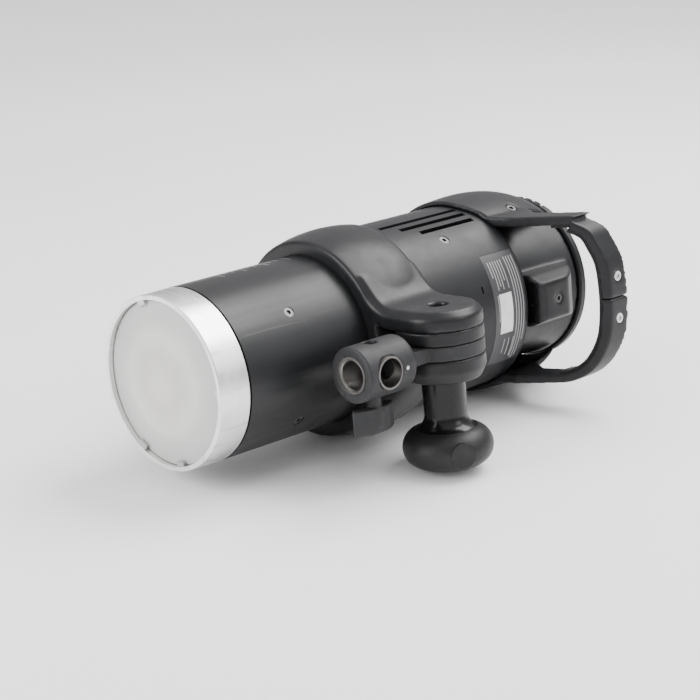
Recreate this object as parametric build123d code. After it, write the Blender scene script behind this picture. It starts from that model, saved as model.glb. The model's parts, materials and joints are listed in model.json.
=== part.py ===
from build123d import *
import math
import os

# Monolight strobe: a tubular studio flash head with its stand adapter folded forward.
# It is drawn in a head frame: X towards the stand side, Y towards the tilt knob,
# Z back along the optical axis from the front ring. place_on_table lays it down.

# Driving dimensions, mm and degrees
ROLL = 6.74
CLEAR = 0.3
TUBE_R = 50.0
TUBE_SEAT_R = 48.4
TUBE_WALL = 3.4
TUBE_Z = 21.5
TUBE_END = 149.0
RING_Z = 20.1
SPIGOT_R = 48.4
GLASS_DOME_R = 273.0
COLLAR_R = 61.5
COLLAR_FRONT = 110.4
COLLAR_REAR = 156.0
BODY_R = 57.3
BODY_WALL = 3.0
BODY_REAR = 238.0
HOOD_FRONT = 230.0
HOOD_REAR = 293.0
HOOD_R = 61.5
BELL_REAR = 294.8
BEZEL_REAR = 301.0
BEZEL_R = 51.6
PANEL_R = 46.0
PANEL_Z = 295.6
TILT_X = 82.0
TILT_Z = 135.4
LUG_R = 25.0
LUG_TOP = -24.5
PLATE_TOP = -13.0
TONGUE_TOP = -5.3
CLAMP_TOP = 3.5
CLAMP_END = 17.0
BOLT_R = 4.0
FIT = 0.05
ARM_X = 82.5
ARM_Y = 0.3
ARM_R = 15.8
ARM_FRONT = 64.5
ARM_REAR = 101.0
SOCKET_R = 8.05
SOCKET_FRONT = 64.8
SOCKET_DEEP = 93.8
BUSH_R = 10.4
LEVER_HOLE_R = 4.25
CROSS_Z = 79.7
WING_START = 21.0
WING_END = 35.5
KNOB_END = 68.9
KNOB_R = 26.0
BAIL_Y = 52.0
BAIL_X = 96.5
BAIL_THICK = 6.0
BAIL_WIDE = 16.0
BAIL_SLOPE = 0.6
BUTTON_R = 3.6
DIAL_X = -17.0
ROCKER_X = 5.5
ROCKER_Y = -20.0
FAN_Z = 240.0
CLIP_ANGLES = (-105.0, 122.0, 80.0, 1.0)
SCREW_ANGLES = (38.5, -38.5, 141.5, 218.5)
SHELL_ANGLES = (53.7, -53.7, 126.3, 233.7)

pieces = {}


def turned(points):
    """Solid of revolution about the optical axis from (radius, depth) corners."""
    return revolve(Plane.XZ * make_face(Polyline(*points, close=True)), Axis.Z)


def barrel(outer, inner, start, end):
    """Plain ring about the optical axis."""
    return turned([(inner, start), (outer, start), (outer, end), (inner, end)])


def rod(radius, start, end):
    """Plain cylinder on the optical axis."""
    return extrude(Plane.XY.offset(start) * Circle(radius), end - start)


def along_y(radius, low, high, x, z):
    """Cylinder parallel to the tilt axis."""
    plane = Plane(origin=(x, low, z), x_dir=(1, 0, 0), z_dir=(0, 1, 0))
    return extrude(plane * Circle(radius), high - low)


def along_z(radius, low, high, x, y):
    """Cylinder parallel to the optical axis."""
    return Pos(x, y, 0) * rod(radius, low, high)


def along_x(radius, low, high, y, z):
    """Cylinder pointing towards the stand side."""
    plane = Plane(origin=(low, y, z), x_dir=(0, 1, 0), z_dir=(1, 0, 0))
    return extrude(plane * Circle(radius), high - low)


def block(x0, x1, y0, y1, z0, z1):
    """Box from its six limits."""
    return Pos(x0, y0, z0) * Box(x1 - x0, y1 - y0, z1 - z0, align=(Align.MIN,) * 3)


def polar(radius, angle, z):
    """Point at a radius and an angle from the stand side."""
    return (radius * math.cos(math.radians(angle)), radius * math.sin(math.radians(angle)), z)


def wedge(half_angle, start, end, reach=80.0):
    """Sector about the stand side, used to open a shell there."""
    far = reach * math.tan(math.radians(half_angle))
    face = make_face(Polyline((0, 0), (reach, -far), (reach, far), close=True))
    return extrude(Plane.XY.offset(start) * face, end - start)


def screw_at(origin, inward, head_r, head_h, shank_r, length):
    """Socket screw whose head starts at origin and whose shank points inward."""
    plane = Plane(origin=origin, z_dir=inward)
    body = extrude(plane * Circle(head_r), head_h)
    body += extrude(plane * Circle(shank_r), length)
    return body - extrude(plane * RegularPolygon(head_r * 0.5, 6), head_h * 0.7)


def radial_screw(radius, angle, z, head_r=3.0, length=6.0):
    """Screw set into a round wall, its head just under the surface."""
    inward = Vector(*polar(-1, angle, 0))
    return screw_at(polar(radius - 0.4, angle, z), inward, head_r, 1.6, 1.4, length)


def radial_hole(radius, angle, z, head_r=3.0, depth=8.0):
    """Counterbore and clearance hole for radial_screw."""
    inward = Vector(*polar(-1, angle, 0))
    plane = Plane(origin=polar(radius + 2, angle, z), z_dir=inward)
    return extrude(plane * Circle(head_r + 0.25), 4.0) + extrude(plane * Circle(1.42), depth + 2)


def group(items):
    """Loose solids kept together in one node."""
    solids = [solid for item in items for solid in item.solids()]
    return Compound(children=solids)


def front_end():
    """Aluminium ring, frosted glass, its clips and the black gasket behind the ring."""
    ring = turned([(47, 0), (49.3, 0), (49.6, 0.4), (TUBE_R, RING_Z), (SPIGOT_R, RING_Z), (SPIGOT_R, 10),
                   (45, 10), (45, 7), (47, 7)])
    dome = Pos(0, 0, GLASS_DOME_R - 0.8) * Sphere(GLASS_DOME_R)
    clip = (block(43.5, 47.5, -3.0, 3.0, 0.6, 2.4) & rod(46.95, 0, 4)) - rod(44.2, 0, 4)
    pieces["front_ring"] = ring
    pieces["glass_plate"] = rod(46.6, -2, 6.9) & dome
    pieces["glass_clips"] = group(Rot(0, 0, angle) * clip for angle in CLIP_ANGLES)
    pieces["ring_gasket"] = barrel(49.0, SPIGOT_R, RING_Z, TUBE_Z)


def tube():
    """Black accessory tube with a front spigot, its carrier disc and screws."""
    inner = TUBE_R - TUBE_WALL
    spigot = SPIGOT_R - FIT
    seat = COLLAR_FRONT - 0.1
    shell = turned([(inner, 10.1), (spigot, 10.1), (spigot, TUBE_Z), (TUBE_R, TUBE_Z), (TUBE_R, seat),
                    (TUBE_SEAT_R, seat), (TUBE_SEAT_R, TUBE_END), (inner, TUBE_END)])
    carrier = barrel(inner, 40, 55, 70) + barrel(inner, 14, 66, 70)
    for angle in SCREW_ANGLES:
        hole = radial_hole(TUBE_R, angle, 62.5)
        shell -= hole
        carrier -= hole
    pieces["front_tube"] = shell
    pieces["lamp_carrier"] = carrier
    pieces["tube_screws"] = group(radial_screw(TUBE_R, angle, 62.5) for angle in SCREW_ANGLES)


def lamps():
    """Reflector bowl, ring flash tube, modelling lamp and their ceramic base."""
    outer = Spline((45, 20), (36, 40), (15, 60))
    inner = Spline((43.6, 20), (34.8, 39), (13.6, 58.6))
    rim = Line((45, 20), (43.6, 20)) + Line((15, 60), (13.6, 58.6))
    bowl = revolve(Plane.XZ * make_face(outer + inner + rim), Axis.Z)
    flash = [revolve(Plane.XZ * (Pos(22, 34) * Circle(3.0)), Axis.Z)]
    for side in (-1, 1):
        flash.append(Pos(0, 22 * side, 0) * rod(2.2, 37.0, 63.9))
        bowl -= Pos(0, 22 * side, 0) * rod(3.2, 40, 70)
    base = rod(13.0, 58.7, 65.9) + rod(27, 64, 65.9) - rod(4.0, 58, 61)
    lamp = Pos(0, 0, 36) * Sphere(8.5) + rod(4.5, 40, 58.6) + rod(3.6, 58, 60.9)
    pieces["reflector_bowl"] = bowl
    pieces["flash_tube"] = group(flash)
    pieces["modelling_lamp"] = lamp
    pieces["lamp_base"] = base


def collar():
    """Yoke collar around tube and body, with the single-sided tilt lug."""
    bore = TUBE_SEAT_R + FIT
    body_bore = BODY_R + FIT
    step = TUBE_END + 0.1
    crown = Polyline((bore, COLLAR_FRONT), (58, COLLAR_FRONT))
    crown += ThreePointArc((58, COLLAR_FRONT), (COLLAR_R, 136), (59.9, COLLAR_REAR))
    crown += Polyline((59.9, COLLAR_REAR), (body_bore, COLLAR_REAR), (body_bore, step), (bore, step),
                      (bore, COLLAR_FRONT))
    ring = revolve(Plane.XZ * make_face(crown), Axis.Z)
    outline = Spline((44, -41), (53, -31), (67, LUG_TOP), tangents=[(0.74, 0.67), (1, 0)])
    outline += Polyline((67, LUG_TOP), (TILT_X + LUG_R, LUG_TOP), (TILT_X + LUG_R, PLATE_TOP),
                        (62, PLATE_TOP), (52, -19), (40, -22), (40, -41), (44, -41))
    lug = extrude(Plane.XY.offset(TILT_Z - LUG_R) * make_face(outline), 2 * LUG_R)
    plan = along_y(LUG_R, -60, 0, TILT_X, TILT_Z)
    plan += block(30, TILT_X, -60, 0, TILT_Z - LUG_R, TILT_Z + LUG_R)
    lug = lug & plan
    lug = chamfer(lug.edges().filter_by(GeomType.CIRCLE).group_by(Axis.Y)[0], 4.0)
    lug -= block(20, 120, -60, 0, 100, COLLAR_FRONT)
    cavity = rod(bore, COLLAR_FRONT - 5, step) + rod(body_bore, TUBE_END, COLLAR_REAR + 10)
    shape = ring + (lug - cavity)
    shape -= along_y(LUG_R + 0.8, PLATE_TOP, CLAMP_END + 4, TILT_X, TILT_Z)
    shape -= along_y(5.6, LUG_TOP - 1, -15, TILT_X, TILT_Z)
    shape -= along_y(BOLT_R + FIT, -16, 0, TILT_X, TILT_Z)
    pieces["collar"] = shape


def tilt_joint():
    """Friction plates, bolt and nut cap of the tilt pivot."""
    bore = along_y(BOLT_R + FIT, -30, 80, TILT_X, TILT_Z)
    upper = along_y(LUG_R, PLATE_TOP, TONGUE_TOP, TILT_X, TILT_Z) - bore
    lower = along_y(LUG_R, CLAMP_TOP, CLAMP_END, TILT_X, TILT_Z)
    lower = chamfer(lower.edges().group_by(Axis.Y)[-1], 6.0, 3.0) - bore
    bolt = along_y(BOLT_R, -15, 62, TILT_X, TILT_Z) + along_y(5.4, -19.5, -15, TILT_X, TILT_Z)
    socket = Plane(origin=(TILT_X, -19.5, TILT_Z), x_dir=(1, 0, 0), z_dir=(0, 1, 0)) * RegularPolygon(2.8, 6)
    pieces["upper_friction_plate"] = upper
    pieces["lower_clamp_plate"] = lower
    pieces["tilt_bolt"] = bolt - extrude(socket, 3)


def adapter():
    """Stand adapter: socket barrel, neck, the tongue in the tilt pivot, and its steel bushes."""
    body = along_z(ARM_R, ARM_FRONT, ARM_REAR, ARM_X, ARM_Y)
    body = fillet(body.edges().group_by(Axis.Z)[-1], 3.5)
    body = chamfer(body.edges().group_by(Axis.Z)[0], 0.8)
    low = TONGUE_TOP + CLEAR
    high = CLAMP_TOP - CLEAR
    shape = body + along_y(LUG_R, low, high, TILT_X, TILT_Z)
    shape += block(ARM_X - 11, ARM_X + 11, low, high, ARM_REAR - 6, TILT_Z - 12)
    cross = along_x(9.2, ARM_X, 110, ARM_Y, CROSS_Z)
    lever_hole = along_y(LEVER_HOLE_R, -30, 30, ARM_X, CROSS_Z)
    shape -= along_z(BUSH_R, ARM_FRONT, SOCKET_DEEP + 0.2, ARM_X, ARM_Y) + cross + lever_hole
    shape -= along_y(BOLT_R + FIT, -30, 80, TILT_X, TILT_Z)
    shape -= along_x(1.2, ARM_X + 8, 110, ARM_Y, 92.4)
    bush = along_z(BUSH_R, SOCKET_FRONT, SOCKET_DEEP, ARM_X, ARM_Y)
    bush -= along_z(SOCKET_R, SOCKET_FRONT, SOCKET_DEEP, ARM_X, ARM_Y)
    mouth = bush.edges().filter_by(GeomType.CIRCLE).group_by(Axis.Z)[0].sort_by(SortBy.RADIUS)[0]
    bush = chamfer(mouth, 0.9)
    # the spigot bears on a land at each end, relieved where the cross hole breaks in
    bush -= along_z(SOCKET_R + 0.3, SOCKET_FRONT + 5.6, SOCKET_DEEP - 4.6, ARM_X, ARM_Y)
    bush -= along_x(9.25, ARM_X, 110, ARM_Y, CROSS_Z) + lever_hole
    side = along_x(9.2, ARM_X + 4, ARM_X + ARM_R - 0.4, ARM_Y, CROSS_Z)
    side -= along_x(SOCKET_R, ARM_X, 110, ARM_Y, CROSS_Z)
    side -= along_z(BUSH_R + FIT, 40, 130, ARM_X, ARM_Y)
    pieces["stand_adapter"] = shape
    pieces["socket_bush"] = bush
    pieces["cross_bush"] = side
    pieces["bush_pin"] = along_x(1.15, ARM_X + 10.6, ARM_X + ARM_R - 0.1, ARM_Y, 92.4)


def wing_lever():
    """Bowed wing screw that clamps the stand spigot."""
    stem = along_y(4.2, 8.6, 30, ARM_X, CROSS_Z)
    plane = Plane(origin=(ARM_X, WING_START, CROSS_Z), x_dir=(1, 0, 0), z_dir=(0, 1, 0))
    middle = (-17.0, 0)
    arc = CenterArc(middle, 22.0, -45, 90) + CenterArc(middle, 16.5, -45, 90)
    ends = [Line(arc.edges()[0] @ n, arc.edges()[1] @ n) for n in (0, 1)]
    bow = extrude(plane * make_face(arc + ends), WING_END - WING_START)
    bow = fillet(bow.edges().group_by(Axis.Y)[-1], 1.6)
    hub = along_y(6.0, WING_START + 2, WING_END - 4, ARM_X, CROSS_Z)
    pieces["wing_lever"] = stem + bow + hub


def tilt_knob():
    """Tilt-lock knob: polished sleeve, soft head and the plug in its side."""
    def knob_turn(profile):
        return Pos(TILT_X, 0, TILT_Z) * (Rot(-90, 0, 0) * revolve(Plane.XZ * make_face(profile), Axis.Z))

    bore = along_y(BOLT_R + FIT, 0, 63, TILT_X, TILT_Z)
    sleeve = Polyline((0, 17.3), (12.6, 17.3), (12.2, 38)) + ThreePointArc((12.2, 38), (13.3, 43), (17.5, 46.6))
    sleeve += Polyline((17.5, 46.6), (17.5, 48.5), (0, 48.5), (0, 17.3))
    head = ThreePointArc((17.6, 46.6), (KNOB_R, 59.0), (15.5, KNOB_END))
    head += Polyline((15.5, KNOB_END), (0, KNOB_END), (0, 48.6), (17.6, 48.6), (17.6, 46.6))
    knob_head = knob_turn(head) - bore
    aim = Vector(0.895, 0.02, -0.446).normalized()
    pocket = Plane(origin=Vector(TILT_X, 57.5, TILT_Z) + aim * (KNOB_R - 3.4), z_dir=aim)
    plug = extrude(pocket * Circle(7.3), 2.6)
    knob_head -= extrude(pocket * Circle(7.35), 8)
    pieces["knob_sleeve"] = knob_turn(sleeve) - bore
    pieces["knob_head"] = knob_head
    pieces["knob_plug"] = plug


def casing():
    """Two-part body casing with side vents, rating plate and its screws."""
    inside = BODY_R - BODY_WALL
    shell = barrel(BODY_R, inside, 149.2, BODY_REAR) + barrel(inside, 44.6, 234, BODY_REAR)
    for side in (-1, 1):
        for number, angle in enumerate((79.0, 71.3, 64.0)):
            slot = block(BODY_R - 6, BODY_R + 4, -1.7, 1.7, 163 + 10 * number, 228.5)
            shell -= Rot(0, 0, side * angle) * slot
    recess = barrel(BODY_R + 1, BODY_R - 0.62, 209, 236.5) & wedge(36.0, 200, 240)
    shell -= recess + (Rot(0, 0, -16) * block(54, 60, -2.2, 2.2, 200.8, 202.0))
    for angle in SHELL_ANGLES:
        shell -= radial_hole(BODY_R, angle, 194)
    pieces["casing_upper"] = shell & block(-70, 70, -70, 0, 140, 245)
    pieces["casing_lower"] = shell & block(-70, 70, 0, 70, 140, 245)
    pieces["rating_plate"] = barrel(BODY_R + 0.05, BODY_R - 0.6, 209.2, 236.3) & wedge(35.8, 200, 240)
    pieces["casing_screws"] = group(radial_screw(BODY_R, angle, 194) for angle in SHELL_ANGLES)


def bail_outline(inset):
    """U-shaped handle outline in the stand-side plane, moved inwards by inset."""
    rim = [(62, BAIL_Y), (67, BAIL_Y - 0.1), (77, BAIL_Y - 2.6), (84, 44.5), (90, 36), (94, 26), (96, 13)]
    rim += [(BAIL_X, 0)] + [(x, -y) for x, y in reversed(rim)]
    moved = []
    for before, here, after in zip(rim, rim[1:], rim[2:]):
        along = Vector(after[0] - before[0], after[1] - before[1]).normalized()
        moved.append((here[0] + along.Y * inset, here[1] - along.X * inset))
    half = BAIL_Y - inset
    curve = Spline(*moved, tangents=[(1, 0), (-1, 0)])
    rest = Polyline(moved[-1], (20, -half), (20, half), moved[0])
    return make_face(curve + rest)


def bail_slab(front, width, root):
    """Sheared slab that gives the handle its forward lean and its wider root."""
    def front_z(x):
        return front + BAIL_SLOPE * (x - 39.0)

    points = [(20, HOOD_FRONT + 3), (34, HOOD_FRONT + 5.6), (44, front_z(44)), (100, front_z(100)),
              (100, front_z(100) + width), (62, front_z(62) + width), (48, front_z(48) + width + root),
              (36, 268), (20, 268)]
    return extrude(Plane.XZ.offset(-60) * make_face(Polyline(*points, close=True)), 120)


def rear_cover():
    """Two hood halves that run on into the bail handle, with liner and screws."""
    hood_inner = BODY_R + 0.1
    lip = 60.3
    outer = Spline((lip, HOOD_FRONT), (HOOD_R, 250), (60.2, 270), (56, 285), (BEZEL_R + 0.4, HOOD_REAR))
    inner = Polyline((BEZEL_R + 0.4, HOOD_REAR), (BEZEL_R - 1.6, HOOD_REAR), (54.0, 282), (57.0, 268),
                     (hood_inner, 262), (hood_inner, HOOD_FRONT), (lip, HOOD_FRONT))
    hood = revolve(Plane.XZ * make_face(outer + inner), Axis.Z) - wedge(57.0, 200, 310, 120)
    sweep = make_face(Polyline((10, 220), (10, HOOD_FRONT), (36, HOOD_FRONT + 7.8), (36, 220), close=True))
    hood -= extrude(Plane.XZ.offset(-80) * sweep, 160)
    bail = extrude(Plane.XY.offset(220) * (bail_outline(0) - bail_outline(BAIL_THICK)), 100)
    bail = bail & bail_slab(235.0, BAIL_WIDE, 3.0)
    bail -= rod(hood_inner, 220, 262)
    liner = extrude(Plane.XY.offset(220) * (bail_outline(BAIL_THICK) - bail_outline(BAIL_THICK + 1.6)), 100)
    liner = liner & bail_slab(237.0, BAIL_WIDE - 4, 0.0) & block(66, 100, -60, 60, 220, 320)
    cover = hood + bail
    fixings = []
    grips = []
    for side in (-1, 1):
        origin = (BAIL_X + 1, 13 * side, 277)
        plane = Plane(origin=origin, z_dir=(-1, 0, 0))
        cover -= extrude(plane * Circle(3.2), 2.6) + extrude(plane * Circle(1.42), 9)
        liner -= extrude(plane * Circle(1.42), 12)
        grips.append(screw_at((BAIL_X - 0.5, 13 * side, 277), (-1, 0, 0), 3.0, 1.0, 1.4, 6.5))
    for angle in (61.4, -61.4, 150.0, 210.0):
        cover -= radial_hole(HOOD_R - 0.6, angle, 260, 3.0, 3.4)
        fixings.append(radial_screw(HOOD_R - 0.6, angle, 260, 3.0, 2.8))
    pieces["hood_handle_left"] = cover & block(-90, 110, -90, -0.05, 200, 320)
    pieces["hood_handle_right"] = cover & block(-90, 110, 0.05, 90, 200, 320)
    pieces["handle_liner"] = liner
    pieces["handle_screws"] = group(grips)
    pieces["hood_screws"] = group(fixings)


def bell():
    """Inner rear housing with the inlet bulge on the stand side."""
    front = BODY_REAR + 0.1
    wall = Polyline((46.6, front), (46.8, 255)) + ThreePointArc((46.8, 255), (47.6, 275), (49.6, BELL_REAR))
    wall += Polyline((49.6, BELL_REAR), (46.9, BELL_REAR), (44.2, 262), (44, front), (46.6, front))
    shell = revolve(Plane.XZ * make_face(wall), Axis.Z)
    side = make_face(Polyline((40, 242), (63, 242), (65, 244.5), (64.5, 268), (61, 275), (48, 288), (40, 288),
                              close=True))
    narrow = make_face(Polyline((30, -16), (55, -16), (66, -11), (66, 11), (55, 16), (30, 16), close=True))
    crown = extrude(Plane.XY.offset(230) * narrow, 70)
    inner_crown = extrude(Plane.XY.offset(230) * (Pos(-2.4, 0) * narrow), 70)
    bulge = extrude(Plane.XZ.offset(-16) * side, 32) & crown
    hollow = make_face(Polyline((38, 244), (61.5, 244), (61.5, 267), (45, 284), (38, 284), close=True))
    hollow = extrude(Plane.XZ.offset(-12.5) * hollow, 25) & inner_crown
    shape = shell + (bulge - rod(45, 230, 300)) - hollow
    shape -= along_x(3.0, 63.1, 70, 0, 258.5) + along_x(1.42, 60, 64, 0, 258.5)
    plate = block(48.5, 62.5, -12.5, 12.5, 241.0, 241.9) & crown
    pieces["rear_housing"] = shape
    pieces["inlet_cover_plate"] = plate - along_z(1.8, 230, 250, 57.5, 1.5)
    pieces["housing_screw"] = screw_at((64.3, 0, 258.5), (-1, 0, 0), 2.8, 1.2, 1.4, 3.6)


def rear_panel():
    """Notched bezel, control panel and everything an operator touches on it."""
    front = BELL_REAR + 0.1
    bezel = turned([(PANEL_R + 0.1, front), (BEZEL_R - 1.2, front), (BEZEL_R, front + 0.9),
                    (BEZEL_R, BEZEL_REAR - 1.5), (BEZEL_R - 1.5, BEZEL_REAR), (PANEL_R + 0.1, BEZEL_REAR)])
    notch = block(BEZEL_R - 2.4, BEZEL_R + 2, -1.6, 1.6, front + 1.2, BEZEL_REAR + 1)
    for step in range(29):
        bezel -= Rot(0, 0, 68.0 + 8.0 * step) * notch
    panel = rod(PANEL_R, PANEL_Z, PANEL_Z + 2.5)
    panel -= block(-38.5, -28, -15, 15, 290, 310)
    panel -= block(12.4, 41.4, -15.9, 15.9, 290, 310)
    panel -= block(ROCKER_X - 5.3, ROCKER_X + 5.3, ROCKER_Y - 9.6, ROCKER_Y + 9.6, 290, 310)
    panel -= along_z(5.0, 290, 310, DIAL_X, 0) + along_z(4.0, 290, 310, ROCKER_X, 22)
    dial = along_z(9.0, PANEL_Z + 2.8, PANEL_Z + 11.3, DIAL_X, 0)
    dial = fillet(dial.edges().group_by(Axis.Z)[-1], 1.2)
    for step in range(18):
        x, y, _ = polar(9.3, 20.0 * step, 0)
        dial -= along_z(0.7, PANEL_Z, PANEL_Z + 20, DIAL_X + x, y)
    places = ((-27.5, 22.5), (-14.0, 26.0), (-27.5, -22.5), (-14.0, -26.0))
    names = ("test_button", "lamp_button", "sync_button", "ready_button")
    for name, (x, y) in zip(names, places):
        panel -= along_z(BUTTON_R + CLEAR, 290, 310, x, y)
        cap = along_z(BUTTON_R, PANEL_Z - 1, PANEL_Z + 4.3, x, y)
        pieces[name] = fillet(cap.edges().group_by(Axis.Z)[-1], 0.8)
    low = PANEL_Z - 1.6
    high = PANEL_Z + 3.4
    rocker = make_face(Polyline((ROCKER_X - 4.3, low), (ROCKER_X + 4.3, low), (ROCKER_X + 4.3, high + 1.6),
                                (ROCKER_X, high), (ROCKER_X - 4.3, high), close=True))
    rocker = extrude(Plane.XZ.offset(-ROCKER_Y - 9) * rocker, 18)
    rocker += along_y(1.2, ROCKER_Y - 9.3, ROCKER_Y + 9.3, ROCKER_X, PANEL_Z + 1.2)
    sync = along_z(3.9, PANEL_Z - 8, PANEL_Z + 3.5, ROCKER_X, 22)
    pieces["rear_bezel"] = bezel
    pieces["display_window"] = block(-38.4, -28.1, -14.9, 14.9, PANEL_Z, PANEL_Z + 2.2)
    pieces["power_dial"] = dial + along_z(3.0, PANEL_Z - 4, PANEL_Z + 4, DIAL_X, 0)
    pieces["power_rocker"] = rocker
    pieces["sync_socket"] = sync - along_z(1.8, 280, 310, ROCKER_X, 22)
    pieces["control_panel"] = panel


def mains_inlet():
    """Three-pin appliance inlet set into the lower part of the panel."""
    body = block(12.5, 41.3, -15.8, 15.8, 282, PANEL_Z + 2.2)
    cavity = block(15.0, 37.5, -12.0, 12.0, 284.5, 305)
    body -= cavity
    pins = []
    for y, x in ((0, 21.5), (-7, 29.5), (7, 29.5)):
        pins.append(block(x - 2, x + 2, y - 1, y + 1, 282.1, 294.5))
        body -= block(x - 2, x + 2, y - 1, y + 1, 281, 297)
    pieces["mains_inlet"] = body
    pieces["inlet_pins"] = group(pins)


def electronics():
    """Chassis plate, storage capacitors, circuit board and the cooling fan."""
    chassis = barrel(BODY_R - BODY_WALL - 0.1, 50.6, 155, 232.5) & block(-60, 60, -60, 60, 155, 232.5)
    chassis = chassis & (wedge(24, 150, 240) + Rot(0, 0, 180) * wedge(24, 150, 240))
    tray = block(-51.2, 51.2, -1.2, 1.2, 155, 232.5)
    bank = [along_z(17, 158, 220, x, y) for x, y in ((-22, 22), (22, 22), (0, -28))]
    pieces["chassis"] = chassis + tray
    pieces["capacitor_bank"] = group(bank)
    pieces["circuit_board"] = block(24, 45, -26, -24.4, 158, 230)
    frame = rod(42, FAN_Z, FAN_Z + 16) - rod(38, FAN_Z - 1, FAN_Z + 13) - rod(38, FAN_Z + 14, FAN_Z + 20)
    frame -= barrel(36, 14, FAN_Z + 12, FAN_Z + 15)
    for angle in (0, 60, 120):
        frame += Rot(0, 0, angle) * block(-39, 39, -1.5, 1.5, FAN_Z + 13, FAN_Z + 14.9)
    rotor = rod(12.0, FAN_Z + 1, FAN_Z + 12.5)
    for step in range(7):
        blade = Pos(22, 0, FAN_Z + 6.5) * (Rot(35, 0, 0) * Box(28, 13, 1.4))
        rotor += Rot(0, 0, step * 360 / 7) * blade
    pieces["fan_frame"] = frame
    pieces["fan_rotor"] = rotor & rod(37.2, FAN_Z + 0.5, FAN_Z + 12.6)


def place_on_table(shapes):
    """Roll the head onto its collar and knob and put the origin under its middle."""
    lean = math.radians(ROLL)
    laid = Plane(origin=(0, 0, 0), x_dir=(math.cos(lean), 0, math.sin(lean)), z_dir=(0, 1, 0)).location
    turned_shapes = {name: laid * shape for name, shape in shapes.items()}
    boxes = [shape.bounding_box() for shape in turned_shapes.values()]
    shift = Pos(-(min(b.min.X for b in boxes) + max(b.max.X for b in boxes)) / 2,
                -(min(b.min.Y for b in boxes) + max(b.max.Y for b in boxes)) / 2,
                -min(b.min.Z for b in boxes))
    print("origin shift", shift.position)
    return {name: shift * shape for name, shape in turned_shapes.items()}


def main():
    front_end()
    tube()
    lamps()
    collar()
    tilt_joint()
    adapter()
    wing_lever()
    tilt_knob()
    casing()
    rear_cover()
    bell()
    rear_panel()
    mains_inlet()
    electronics()
    os.makedirs("parts", exist_ok=True)
    for name, shape in place_on_table(pieces).items():
        export_step(shape, f"parts/{name}.step")


main()
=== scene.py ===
import json
import math

import bmesh
import bpy
from mathutils import Matrix, Vector


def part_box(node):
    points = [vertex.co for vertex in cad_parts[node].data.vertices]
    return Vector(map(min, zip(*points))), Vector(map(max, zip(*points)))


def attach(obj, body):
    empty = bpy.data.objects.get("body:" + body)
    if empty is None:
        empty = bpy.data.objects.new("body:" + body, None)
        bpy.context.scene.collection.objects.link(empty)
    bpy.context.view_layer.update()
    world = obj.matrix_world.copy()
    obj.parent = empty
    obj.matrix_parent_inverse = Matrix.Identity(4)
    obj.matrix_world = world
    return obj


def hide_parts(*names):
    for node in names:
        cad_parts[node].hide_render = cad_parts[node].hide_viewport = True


MM = 0.001
LEAN = math.radians(6.74)  # the head lies turned by this much about its own length

# Printed marks, in millimetres and degrees in the head's own directions.
LABEL_R = 57.36
TUBE_R = 49.99
PRINT_THICK = 0.04
BOX_THICK = 0.05
BOX_SPAN = (213.8, 224.6)
BOX_ANGLES = (-10.5, 14.0)
RULE_WIDTH = 0.75
# Each rule is a depth, a first angle and a last angle.
RULES = (
    (212.4, -31, -21), (214.6, -31, -13), (216.8, -31, -15), (219.0, -31, -13), (221.2, -31, -18),
    (223.4, -31, -13), (227.2, -32, 33), (229.4, -32, 35), (231.6, -32, 33), (233.8, -32, 22),
    (212.4, -10, 6), (226.0, 18, 32), (222.0, 18, 30), (218.0, 18, 28),
)
TICKS = 10
TICK_START = 50.0
TICK_STEP = 5.5
TICK_WIDTH = 0.45
TICK_FIRST = -99
LONG_TICK_LAST = -88
SHORT_TICK_LAST = -93

# Each piece that is given moulded edges: its body, voxel size in metres and smoothing passes.
MOULDINGS = (
    ("collar", "head", 0.0010, 9),
    ("hood_handle_left", "head", 0.0008, 10),
    ("hood_handle_right", "head", 0.0008, 10),
    ("rear_housing", "head", 0.0010, 14),
    ("lower_clamp_plate", "head", 0.0007, 5),
    ("upper_friction_plate", "head", 0.0007, 4),
    ("wing_lever", "wing", 0.0005, 6),
    ("stand_adapter", "adapter", 0.0006, 5),
)

FLOOR_SIZE = 6.0
CAMERA_LENS = 102.86
CAMERA_OFFSET = Vector((0.8091, -0.6439, 0.3663))
CAMERA_AIM = Vector((-0.6792, 0.6609, -0.3194))

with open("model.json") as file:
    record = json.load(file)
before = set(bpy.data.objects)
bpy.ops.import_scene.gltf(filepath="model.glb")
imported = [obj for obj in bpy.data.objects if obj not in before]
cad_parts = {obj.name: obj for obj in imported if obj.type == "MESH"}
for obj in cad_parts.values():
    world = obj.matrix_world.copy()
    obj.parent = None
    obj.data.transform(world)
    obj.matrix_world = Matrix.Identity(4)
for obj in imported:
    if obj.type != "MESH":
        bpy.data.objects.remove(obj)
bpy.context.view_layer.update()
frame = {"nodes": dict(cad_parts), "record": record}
nodes = frame["nodes"]

# The head's own directions: first towards the stand side, second towards the knob, third back along the tube.
ring_low, ring_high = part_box("front_ring")
tube_centre = Vector(((ring_low.x + ring_high.x) / 2, ring_low.y, (ring_low.z + ring_high.z) / 2))
HEAD = Matrix.Translation(tube_centre) @ Matrix((
    (math.cos(LEAN), math.sin(LEAN), 0, 0),
    (0, 0, 1, 0),
    (math.sin(LEAN), -math.cos(LEAN), 0, 0),
    (0, 0, 0, 1),
))


# ---------- finishes ----------

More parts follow.
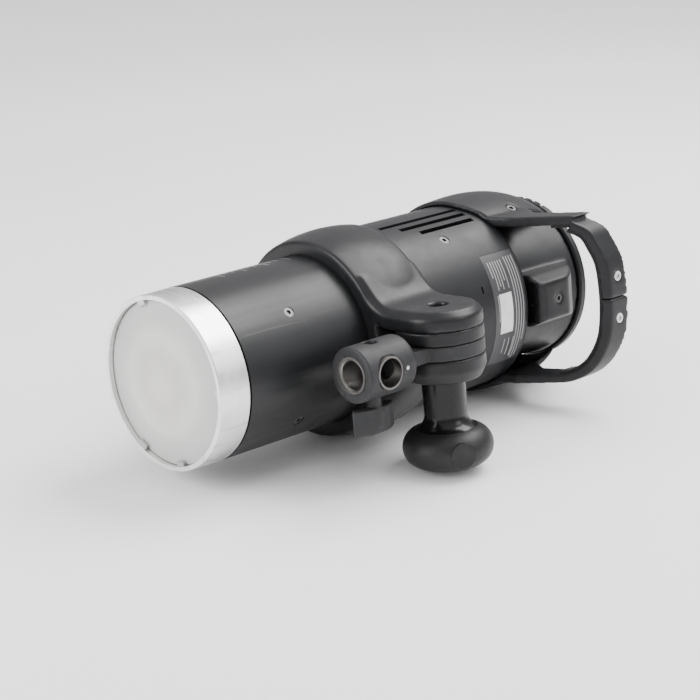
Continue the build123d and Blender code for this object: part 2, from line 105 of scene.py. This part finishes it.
class Finish:
    """One material under construction: a shader with patterns in object coordinates wired to it."""

    def __init__(self, name, roughness=0.5, metallic=0.0, ior=1.5):
        self.material = bpy.data.materials.new(name)
        self.material.use_nodes = True
        self.tree = self.material.node_tree
        self.shader = self.tree.nodes["Principled BSDF"]
        self.set("Roughness", roughness)
        self.set("Metallic", metallic)
        self.set("IOR", ior)
        self.height = None

    def set(self, label, value):
        self.shader.inputs[label].default_value = value

    def node(self, kind, **settings):
        made = self.tree.nodes.new(kind)
        for label, value in settings.items():
            setattr(made, label, value)
        return made

    def link(self, source, target):
        self.tree.links.new(source, target)

    def place(self, stretch=(1, 1, 1)):
        """Object coordinates measured from the front ring's centre."""
        where = self.node("ShaderNodeTexCoord")
        mapping = self.node("ShaderNodeMapping")
        mapping.inputs["Location"].default_value = [-c * s for c, s in zip(tube_centre, stretch)]
        mapping.inputs["Scale"].default_value = stretch
        self.link(where.outputs["Object"], mapping.inputs["Vector"])
        return mapping.outputs["Vector"]

    def noise(self, scale, detail=4.0, stretch=(1, 1, 1), distortion=0.0):
        made = self.node("ShaderNodeTexNoise")
        made.inputs["Scale"].default_value = scale
        made.inputs["Detail"].default_value = detail
        made.inputs["Distortion"].default_value = distortion
        self.link(self.place(stretch), made.inputs["Vector"])
        return made.outputs["Fac"]

    def ramp(self, value, *stops):
        """Colour or grey levels at places along a pattern's value."""
        made = self.node("ShaderNodeValToRGB")
        band = made.color_ramp
        while len(band.elements) < len(stops):
            band.elements.new(0.5)
        for element, (at, shade) in zip(band.elements, stops):
            element.position = at
            element.color = (*shade, 1) if isinstance(shade, tuple) else (shade, shade, shade, 1)
        self.link(value, made.inputs["Fac"])
        return made.outputs["Color"]

    def mix(self, factor, first, second, how="MIX"):
        made = self.node("ShaderNodeMix", data_type="RGBA", blend_type=how)
        for label, value in ((0, factor), (6, first), (7, second)):
            if isinstance(value, bpy.types.NodeSocket):
                self.link(value, made.inputs[label])
            elif label == 0:
                made.inputs[0].default_value = value
            else:
                made.inputs[label].default_value = (*value, 1)
        return made.outputs[2]

    def colour(self, source):
        self.link(source, self.shader.inputs["Base Color"])

    def rough(self, source):
        self.link(source, self.shader.inputs["Roughness"])

    def bump(self, source, depth, strength=1.0):
        made = self.node("ShaderNodeBump")
        made.inputs["Distance"].default_value = depth
        made.inputs["Strength"].default_value = strength
        self.link(source, made.inputs["Height"])
        if self.height is not None:
            self.link(self.height, made.inputs["Normal"])
        self.height = made.outputs["Normal"]
        self.link(self.height, self.shader.inputs["Normal"])


def moulded(name, shade, gloss, grain=0.00003, grain_scale=2600, scuffs=0.35):
    """Moulded plastic: fine spark-eroded grain, cloudy gloss, dust and light rub marks."""
    made = Finish(name, ior=1.5)
    made.set("Specular IOR Level", 0.30)
    cloud = made.noise(38, 5)
    rub = made.noise(75, 7, (1, 0.35, 1), distortion=0.6)
    marks = made.ramp(rub, (0.60, 0.0), (0.74, scuffs))
    dark, light = (tuple(c * part for c in shade) for part in (0.82, 1.2))
    base = made.ramp(cloud, (0.3, dark), (0.75, light))
    made.colour(made.mix(marks, base, tuple(min(1, c * 1.9 + 0.012) for c in shade)))
    uneven = made.mix(0.35, made.noise(110, 6), rub)
    made.rough(made.ramp(uneven, (0.3, gloss - 0.05), (0.7, gloss + 0.09)))
    made.bump(made.noise(grain_scale, 3), grain, 0.7)
    return made.material


def anodised_tube():
    """Black anodised tube, rubbed lengthways by clamps that slide along it."""
    made = Finish("tube_black", ior=1.5)
    made.set("Specular IOR Level", 0.34)
    shade = (0.008, 0.0083, 0.009)
    along = made.noise(260, 6, (1, 0.05, 1))
    around = made.noise(240, 5, (0.06, 1, 0.06), distortion=0.4)
    worn = made.noise(24, 4)
    lines = made.ramp(along, (0.66, 0.0), (0.72, 0.22))
    rings = made.ramp(around, (0.68, 0.0), (0.74, 0.18))
    base = made.ramp(worn, (0.3, shade), (0.8, (0.013, 0.0135, 0.015)))
    base = made.mix(lines, base, (0.12, 0.12, 0.125))
    made.colour(made.mix(rings, base, (0.10, 0.10, 0.105)))
    made.rough(made.ramp(made.mix(0.5, along, worn), (0.3, 0.30), (0.7, 0.44)))
    made.bump(made.noise(1900, 3), 0.00002, 0.6)
    made.bump(along, 0.00003, 0.35)
    return made.material


def turned_metal(name, shade, low, high, lines=900, scratches=0.4, dirt=0.3):
    """Machined metal: fine turning lines round the tube's axis, hazy patches and random scratches."""
    made = Finish(name, metallic=1.0)
    turning = made.noise(lines, 3, (0.012, 1, 0.012))
    haze = made.noise(45, 6, distortion=0.5)
    scratch = made.noise(190, 8, (1, 0.12, 1), distortion=1.2)
    marks = made.ramp(scratch, (0.60, 0.0), (0.66, scratches))
    dull = tuple(c * (1 - dirt) for c in shade)
    base = made.ramp(haze, (0.34, dull), (0.62, shade))
    made.colour(made.mix(marks, base, tuple(c * 0.62 for c in shade)))
    made.rough(made.ramp(made.mix(0.5, haze, turning), (0.35, low), (0.66, high)))
    made.bump(turning, 0.00002, 0.35)
    made.bump(scratch, 0.00004, 0.25)
    return made.material


def frosted():
    """Sand-blasted glass that lets some light through, with the glow of the lamps behind it painted into its
    colour as lighter and darker rings.
    """
    made = Finish("frosted_glass", roughness=0.42, ior=1.46)
    made.set("Transmission Weight", 0.22)
    span = made.node("ShaderNodeVectorMath", operation="LENGTH")
    made.link(made.place((18, 1, 18)), span.inputs[0])
    # Painted glow: the colour is lighter at the centre and in a ring part way out, and darker between them
    # and towards the rim, standing in for the lamps shining through the glass.
    painted_glow = made.ramp(span.outputs["Value"], (0.0, (0.80, 0.785, 0.75)), (0.28, (0.70, 0.69, 0.66)),
                     (0.50, (0.80, 0.79, 0.77)), (0.62, (0.66, 0.665, 0.65)), (0.82, (0.60, 0.61, 0.60)))
    cloud = made.ramp(made.noise(26, 5), (0.3, (0.86, 0.87, 0.86)), (0.75, (1.0, 1.0, 0.99)))
    made.colour(made.mix(1.0, painted_glow, cloud, "MULTIPLY"))
    made.rough(made.ramp(made.noise(60, 5), (0.3, 0.38), (0.7, 0.52)))
    made.bump(made.noise(3200, 2), 0.00002, 0.7)
    return made.material


def clear(name, tint):
    """Clear glass with a faint tint and a trace of haze."""
    made = Finish(name, roughness=0.05, ior=1.47)
    made.set("Transmission Weight", 0.9)
    made.colour(made.ramp(made.noise(30, 3), (0.3, tint), (0.8, tuple(min(1, c * 1.04) for c in tint))))
    made.rough(made.ramp(made.noise(80, 4), (0.3, 0.03), (0.7, 0.10)))
    return made.material


def printed_plate():
    """Dark film that carries the label's printed marks."""
    made = Finish("label_film", ior=1.5)
    made.colour(made.ramp(made.noise(60, 5), (0.3, (0.030, 0.030, 0.032)), (0.75, (0.045, 0.045, 0.048))))
    made.rough(made.ramp(made.noise(120, 5), (0.3, 0.30), (0.7, 0.42)))
    made.bump(made.noise(900, 3), 0.00001, 0.5)
    return made.material


finish = {
    "bare_aluminium": turned_metal("bare_aluminium", (0.93, 0.925, 0.91), 0.22, 0.42, 1100, 0.45, 0.14),
    "frosted_glass": frosted(),
    "spring_steel": turned_metal("spring_steel", (0.60, 0.60, 0.60), 0.25, 0.40),
    "black_rubber": moulded("black_rubber", (0.012, 0.012, 0.012), 0.75),
    "tube_black": anodised_tube(),
    "dark_metal": turned_metal("dark_metal", (0.16, 0.16, 0.17), 0.35, 0.50),
    "screw_black": turned_metal("screw_black", (0.13, 0.13, 0.13), 0.30, 0.48, 700, 0.5, 0.4),
    "bright_aluminium": turned_metal("bright_aluminium", (0.90, 0.90, 0.89), 0.12, 0.24, 700, 0.1, 0.05),
    "clear_glass": clear("clear_glass", (0.95, 0.94, 0.90)),
    "ceramic": moulded("ceramic", (0.70, 0.68, 0.62), 0.55),
    "collar_black": moulded("collar_black", (0.0095, 0.0098, 0.0108), 0.34, 0.00004, 2400),
    "plate_black": moulded("plate_black", (0.010, 0.0102, 0.0112), 0.38),
    "adapter_black": moulded("adapter_black", (0.020, 0.0205, 0.0215), 0.50, 0.00004, 1900, 0.6),
    "worn_steel": turned_metal("worn_steel", (0.20, 0.19, 0.18), 0.34, 0.52, 600, 0.7, 0.5),
    "gloss_black": moulded("gloss_black", (0.004, 0.004, 0.0045), 0.22, 0.00001, 1500, 0.15),
    "soft_black": moulded("soft_black", (0.009, 0.009, 0.0095), 0.42, 0.00004, 2200, 0.5),
    "casing_black": moulded("casing_black", (0.011, 0.0113, 0.0125), 0.38, 0.00004, 2400),
    "label_film": printed_plate(),
    "bright_screw": turned_metal("bright_screw", (0.66, 0.65, 0.63), 0.22, 0.38, 900, 0.5, 0.3),
    "panel_grey": moulded("panel_grey", (0.07, 0.072, 0.076), 0.45),
    "display_glass": moulded("display_glass", (0.035, 0.008, 0.008), 0.12, 0.000005, 900, 0.1),
    "button_grey": moulded("button_grey", (0.22, 0.225, 0.23), 0.60),
    "brass_pin": turned_metal("brass_pin", (0.72, 0.62, 0.40), 0.20, 0.34),
    "can_sleeve": moulded("can_sleeve", (0.03, 0.045, 0.12), 0.30),
    "print_white": moulded("print_white", (0.72, 0.72, 0.71), 0.5, 0.00001, 1500, 0.2),
    "print_grey": moulded("print_grey", (0.30, 0.30, 0.30), 0.5, 0.00001, 1500, 0.2),
    "board_green": moulded("board_green", (0.02, 0.12, 0.06), 0.40),
}
material_of = {row["node"]: row["material_slot"] for row in frame["record"]["subparts"]}
for name, slot_name in material_of.items():
    mesh = nodes[name].data
    mesh.materials.clear()
    mesh.materials.append(finish[slot_name])


# ---------- pieces ----------

def add_piece(name, mesh, body, finish_name, stands_for=()):
    """Puts a mesh in the scene on its body, with its finish and the solids it is shown in place of."""
    piece = bpy.data.objects.new(name, mesh)
    bpy.context.scene.collection.objects.link(piece)
    mesh.materials.clear()
    mesh.materials.append(finish[finish_name])
    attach(piece, body)
    if stands_for:
        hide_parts(*stands_for)
    return piece


def moulding(node, body, voxel, passes):
    """Gives a hard-edged solid the rounded edges and flowing corners of a moulding."""
    form = bmesh.new()
    form.from_mesh(nodes[node].data)
    bmesh.ops.remove_doubles(form, verts=form.verts, dist=0.000002)
    raw = bpy.data.meshes.new(node + "_raw")
    form.to_mesh(raw)
    form.free()
    blank = bpy.data.objects.new(node + "_blank", raw)
    bpy.context.scene.collection.objects.link(blank)
    skin = blank.modifiers.new("skin", "REMESH")
    skin.mode = "VOXEL"
    skin.voxel_size = voxel
    skin.use_smooth_shade = True
    soften = blank.modifiers.new("soften", "SMOOTH")
    soften.factor = 0.5
    soften.iterations = passes
    depsgraph = bpy.context.evaluated_depsgraph_get()
    shaped = bpy.data.meshes.new_from_object(blank.evaluated_get(depsgraph))
    bpy.data.objects.remove(blank)
    return add_piece(node + "_moulded", shaped, body, material_of[node], (node,))


def band(name, radius, thickness, start, end, first, last, finish_name):
    """Thin printed patch that follows the casing's curve between two depths and two angles."""
    form = bmesh.new()
    corners = [form.verts.new((r * MM, 0, z * MM)) for r, z in
               ((radius, start), (radius, end), (radius + thickness, end), (radius + thickness, start))]
    face = form.faces.new(corners)
    turn = Matrix.Rotation(math.radians(first), 3, "Z")
    bmesh.ops.rotate(form, verts=form.verts, cent=(0, 0, 0), matrix=turn)
    steps = max(2, int(abs(last - first) / 3))
    bmesh.ops.spin(form, geom=[face], cent=(0, 0, 0), axis=(0, 0, 1), steps=steps,
                   angle=math.radians(last - first))
    bmesh.ops.remove_doubles(form, verts=form.verts, dist=0.0000005)
    bmesh.ops.recalc_face_normals(form, faces=form.faces)
    mesh = bpy.data.meshes.new(name)
    form.to_mesh(mesh)
    form.free()
    mesh.transform(HEAD)
    return add_piece(name, mesh, "head", finish_name)


for node, body, voxel, passes in MOULDINGS:
    moulding(node, body, voxel, passes)

# A plain pale box and thin rules on the label, and a scale of plain ticks on the tube.
band("label_box", LABEL_R, BOX_THICK, *BOX_SPAN, *BOX_ANGLES, "print_white")
for row, (depth, first, last) in enumerate(RULES):
    band(f"label_rule_{row}", LABEL_R, PRINT_THICK, depth, depth + RULE_WIDTH, first, last, "print_grey")
for mark in range(TICKS):
    depth = TICK_START + TICK_STEP * mark
    last = LONG_TICK_LAST if mark % 3 == 0 else SHORT_TICK_LAST
    band(f"scale_tick_{mark}", TUBE_R, PRINT_THICK, depth, depth + TICK_WIDTH, TICK_FIRST, last,
         "print_grey")


# ---------- floor, light and camera ----------

floor_shape = bmesh.new()
bmesh.ops.create_grid(floor_shape, x_segments=2, y_segments=2, size=FLOOR_SIZE)
floor_mesh = bpy.data.meshes.new("floor")
floor_shape.to_mesh(floor_mesh)
floor = bpy.data.objects.new("floor", floor_mesh)
bpy.context.scene.collection.objects.link(floor)
paper = Finish("paper", roughness=0.75)
sheet = paper.ramp(paper.noise(3, 4), (0.3, (0.93, 0.925, 0.93)), (0.7, (0.96, 0.955, 0.96)))
paper.colour(sheet)
paper.bump(paper.noise(14, 4), 0.0015, 0.15)
floor_mesh.materials.append(paper.material)

world = bpy.data.worlds.new("studio")
world.use_nodes = True
sky = world.node_tree
direction = sky.nodes.new("ShaderNodeTexCoord")
split = sky.nodes.new("ShaderNodeSeparateXYZ")
fade = sky.nodes.new("ShaderNodeValToRGB")
fade.color_ramp.elements[0].position = 0.05
fade.color_ramp.elements[0].color = (0.42, 0.42, 0.43, 1)
fade.color_ramp.elements[1].position = 0.85
fade.color_ramp.elements[1].color = (1.0, 0.99, 1.0, 1)
sky.links.new(direction.outputs["Generated"], split.inputs[0])
sky.links.new(split.outputs["Z"], fade.inputs["Fac"])
sky.links.new(fade.outputs["Color"], sky.nodes["Background"].inputs["Color"])
sky.nodes["Background"].inputs["Strength"].default_value = 1.25
bpy.context.scene.world = world


def softbox(name, place, aim, width, height, power):
    """Rectangular lamp that faces a point."""
    lamp = bpy.data.lights.new(name, "AREA")
    lamp.shape = "RECTANGLE"
    lamp.size = width
    lamp.size_y = height
    lamp.energy = power
    holder = bpy.data.objects.new(name, lamp)
    bpy.context.scene.collection.objects.link(holder)
    holder.location = place
    holder.rotation_euler = (Vector(aim) - Vector(place)).to_track_quat("-Z", "Y").to_euler()


softbox("overhead", (0.20, 0.75, 1.25), (0, 0, 0.05), 1.2, 0.9, 34)
softbox("window_left", (-0.35, -1.25, 0.55), (0, -0.05, 0.06), 0.7, 0.9, 18)
softbox("fill_right", (1.3, 0.5, 0.9), (0, 0, 0.05), 0.7, 0.7, 6)

camera_data = bpy.data.cameras.new("camera")
camera_data.lens = CAMERA_LENS
camera_data.sensor_width = 36
camera = bpy.data.objects.new("camera", camera_data)
bpy.context.scene.collection.objects.link(camera)
camera.location = tube_centre + CAMERA_OFFSET
camera.rotation_euler = CAMERA_AIM.to_track_quat("-Z", "Y").to_euler()
bpy.context.scene.camera = camera
